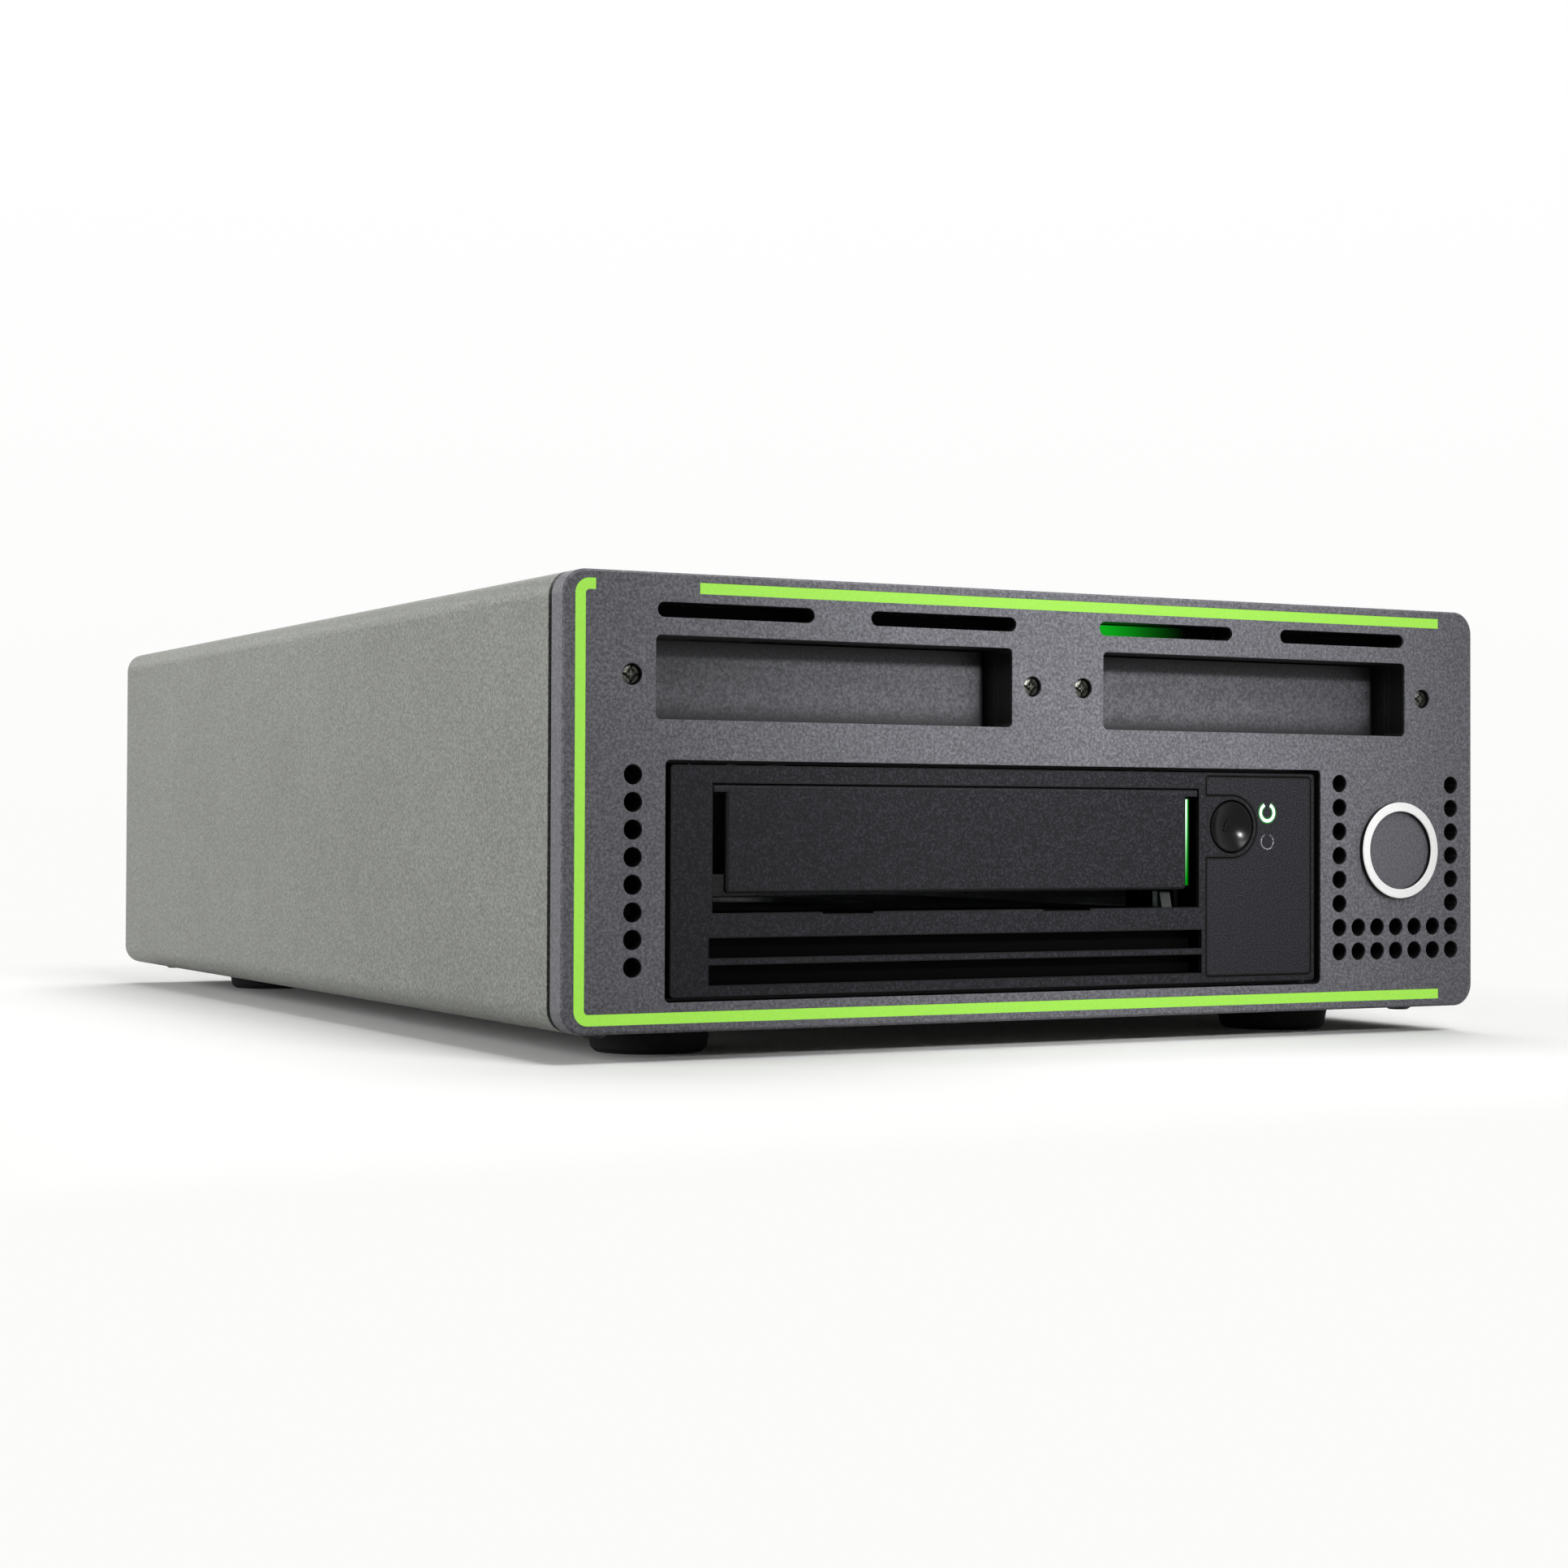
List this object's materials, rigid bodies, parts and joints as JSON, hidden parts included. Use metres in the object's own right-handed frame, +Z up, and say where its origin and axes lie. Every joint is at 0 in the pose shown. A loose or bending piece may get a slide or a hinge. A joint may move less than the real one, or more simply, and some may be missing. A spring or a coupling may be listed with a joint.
{
  "type": "data tape drive",
  "caption": "Desktop tape drive in a metal enclosure, with a hinged cartridge door, an eject button, blanked media bays above, a fan, a mains inlet and data ports at the rear.",
  "frame": {"origin": "on the ground under the middle of the whole object", "axes": "+X to the right of someone facing the front, +Y to the rear, +Z up; the front faces -Y"},
  "size_m": [0.212, 0.2992, 0.0896],
  "materials": {
    "faceplate_paint": "dark grey metallic powder coat",
    "blank_paint": "dark grey metallic powder coat",
    "sleeve_paint": "dark grey metallic powder coat",
    "frame_steel": "black painted steel",
    "zinc_steel": "bare zinc-plated sheet",
    "cast_metal": "as cast",
    "foot_rubber": "matte black rubber",
    "dark_screw": "black oxide",
    "bright_screw": "nickel plated",
    "badge_white": "satin white",
    "clear_plastic": "clear acrylic",
    "board_green": "solder mask",
    "bezel_plastic": "fine textured black",
    "insert_plastic": "smooth black",
    "gear_plastic": "natural acetal",
    "motor_can": "drawn steel",
    "head_ceramic": "lapped ceramic",
    "inlet_plastic": "black",
    "port_shell": "nickel plated"
  },
  "bodies": {
    "enclosure": {"bay_screws": "bright_screw", "bezel_insert": "insert_plastic", "board_heatsink": "cast_metal", "button_spring": "bright_screw", "case_sleeve": "sleeve_paint", "chassis_floor": "zinc_steel", "data_ports": "port_shell", "drive_base_casting": "cast_metal", "drive_bezel": "bezel_plastic", "drive_bottom_cover": "zinc_steel", "drive_circuit_board": "board_green", "drive_rails": "zinc_steel", "drive_screws": "bright_screw", "drive_top_cover": "zinc_steel", "entry_guide": "bezel_plastic", "fan_frame": "inlet_plastic", "front_faceplate": "faceplate_paint", "front_frame": "frame_steel", "head_motor": "motor_can", "indicator_board": "board_green", "inlet_blades": "bright_screw", "interface_board": "board_green", "key_board": "board_green", "light_pipes": "clear_plastic", "loader_motor": "motor_can", "mains_inlet": "inlet_plastic", "media_blank_left": "blank_paint", "media_blank_right": "blank_paint", "media_cages": "frame_steel", "plate_screws": "dark_screw", "port_bracket": "zinc_steel", "power_supply": "board_green", "power_switch": "inlet_plastic", "rear_panel": "frame_steel", "rear_screws": "dark_screw", "reel_motors": "motor_can", "round_badge": "badge_white", "rubber_feet": "foot_rubber", "sensor_prism": "clear_plastic", "slot_light_guides": "clear_plastic", "underside_screws": "dark_screw", "upper_deck": "zinc_steel"},
    "bay_door": {"bay_door": "bezel_plastic"},
    "eject_button": {"eject_button": "insert_plastic"},
    "cartridge_tray": {"cartridge_tray": "zinc_steel", "tray_rack": "gear_plastic"},
    "loader_gear": {"loader_gear": "gear_plastic"},
    "loader_pinion": {"loader_pinion": "gear_plastic"},
    "supply_clutch": {"supply_clutch": "gear_plastic"},
    "takeup_reel": {"takeup_reel": "gear_plastic"},
    "guide_roller_1": {"guide_roller_1": "cast_metal"},
    "guide_roller_2": {"guide_roller_2": "cast_metal"},
    "guide_roller_3": {"guide_roller_3": "cast_metal"},
    "guide_roller_4": {"guide_roller_4": "cast_metal"},
    "head_carriage": {"head_carriage": "cast_metal", "tape_head": "head_ceramic"},
    "head_lead_screw": {"head_lead_screw": "bright_screw"},
    "power_rocker": {"power_rocker": "inlet_plastic"},
    "fan_rotor": {"fan_rotor": "inlet_plastic"}
  },
  "joints": [
    {"name": "door_hinge", "type": "hinge", "parent": "enclosure", "child": "bay_door", "pos_m": [-0.0206, -0.14695, 0.05028], "axis": [1, 0, 0], "range_deg": [0, 86], "stiffness_Nm_per_rad": 0.002},
    {"name": "eject_press", "type": "slide", "parent": "enclosure", "child": "eject_button", "axis": [0, 1, 0], "range_m": [0, 0.001], "stiffness_N_per_m": 300, "springref_m": -0.0005, "deforming": ["button_spring"]},
    {"name": "tray_slide", "type": "slide", "parent": "enclosure", "child": "cartridge_tray", "axis": [0, 1, 0], "range_m": [0, 0.013]},
    {"name": "loader_gear_turn", "type": "hinge", "parent": "enclosure", "child": "loader_gear", "pos_m": [-0.0579, -0.1019, 0.02135], "axis": [0, 0, 1], "range_deg": [0, 77.69]},
    {"name": "loader_pinion_turn", "type": "hinge", "parent": "enclosure", "child": "loader_pinion", "pos_m": [-0.0579, -0.08658, 0.02135], "axis": [0, 0, 1], "range_deg": [-133.11, 0]},
    {"name": "supply_spin", "type": "hinge", "parent": "enclosure", "child": "supply_clutch", "pos_m": [-0.0206, -0.0569, 0.02095], "axis": [0, 0, 1], "continuous": true},
    {"name": "takeup_spin", "type": "hinge", "parent": "enclosure", "child": "takeup_reel", "pos_m": [-0.0222, 0.0251, 0.02095], "axis": [0, 0, 1], "continuous": true},
    {"name": "roller_1_spin", "type": "hinge", "parent": "enclosure", "child": "guide_roller_1", "pos_m": [0.0403, -0.0369, 0.0273], "axis": [0, 0, 1], "continuous": true},
    {"name": "roller_2_spin", "type": "hinge", "parent": "enclosure", "child": "guide_roller_2", "pos_m": [0.0478, -0.0229, 0.0273], "axis": [0, 0, 1], "continuous": true},
    {"name": "roller_3_spin", "type": "hinge", "parent": "enclosure", "child": "guide_roller_3", "pos_m": [0.0478, 0.0051, 0.0273], "axis": [0, 0, 1], "continuous": true},
    {"name": "roller_4_spin", "type": "hinge", "parent": "enclosure", "child": "guide_roller_4", "pos_m": [0.0403, 0.0191, 0.0273], "axis": [0, 0, 1], "continuous": true},
    {"name": "head_slide", "type": "slide", "parent": "enclosure", "child": "head_carriage", "axis": [0, 0, 1], "range_m": [-0.0025, 0.0025]},
    {"name": "head_screw_turn", "type": "hinge", "parent": "enclosure", "child": "head_lead_screw", "pos_m": [0.0553, -0.0123, 0.03095], "axis": [0, 0, 1], "range_deg": [-900, 900]},
    {"name": "rocker_tilt", "type": "hinge", "parent": "enclosure", "child": "power_rocker", "pos_m": [-0.048, 0.146, 0.0296], "axis": [-1, 0, 0], "range_deg": [0, 16]},
    {"name": "fan_spin", "type": "hinge", "parent": "enclosure", "child": "fan_rotor", "pos_m": [0.062, 0.1376, 0.0486], "axis": [0, 1, 0], "continuous": true}
  ],
  "couplings": [
    {"joint": "loader_gear_turn", "follows": "tray_slide", "rad_per_m": 104.17},
    {"joint": "loader_pinion_turn", "follows": "tray_slide", "rad_per_m": -178.57},
    {"joint": "head_screw_turn", "follows": "head_slide", "rad_per_m": 6283.2}
  ]
}
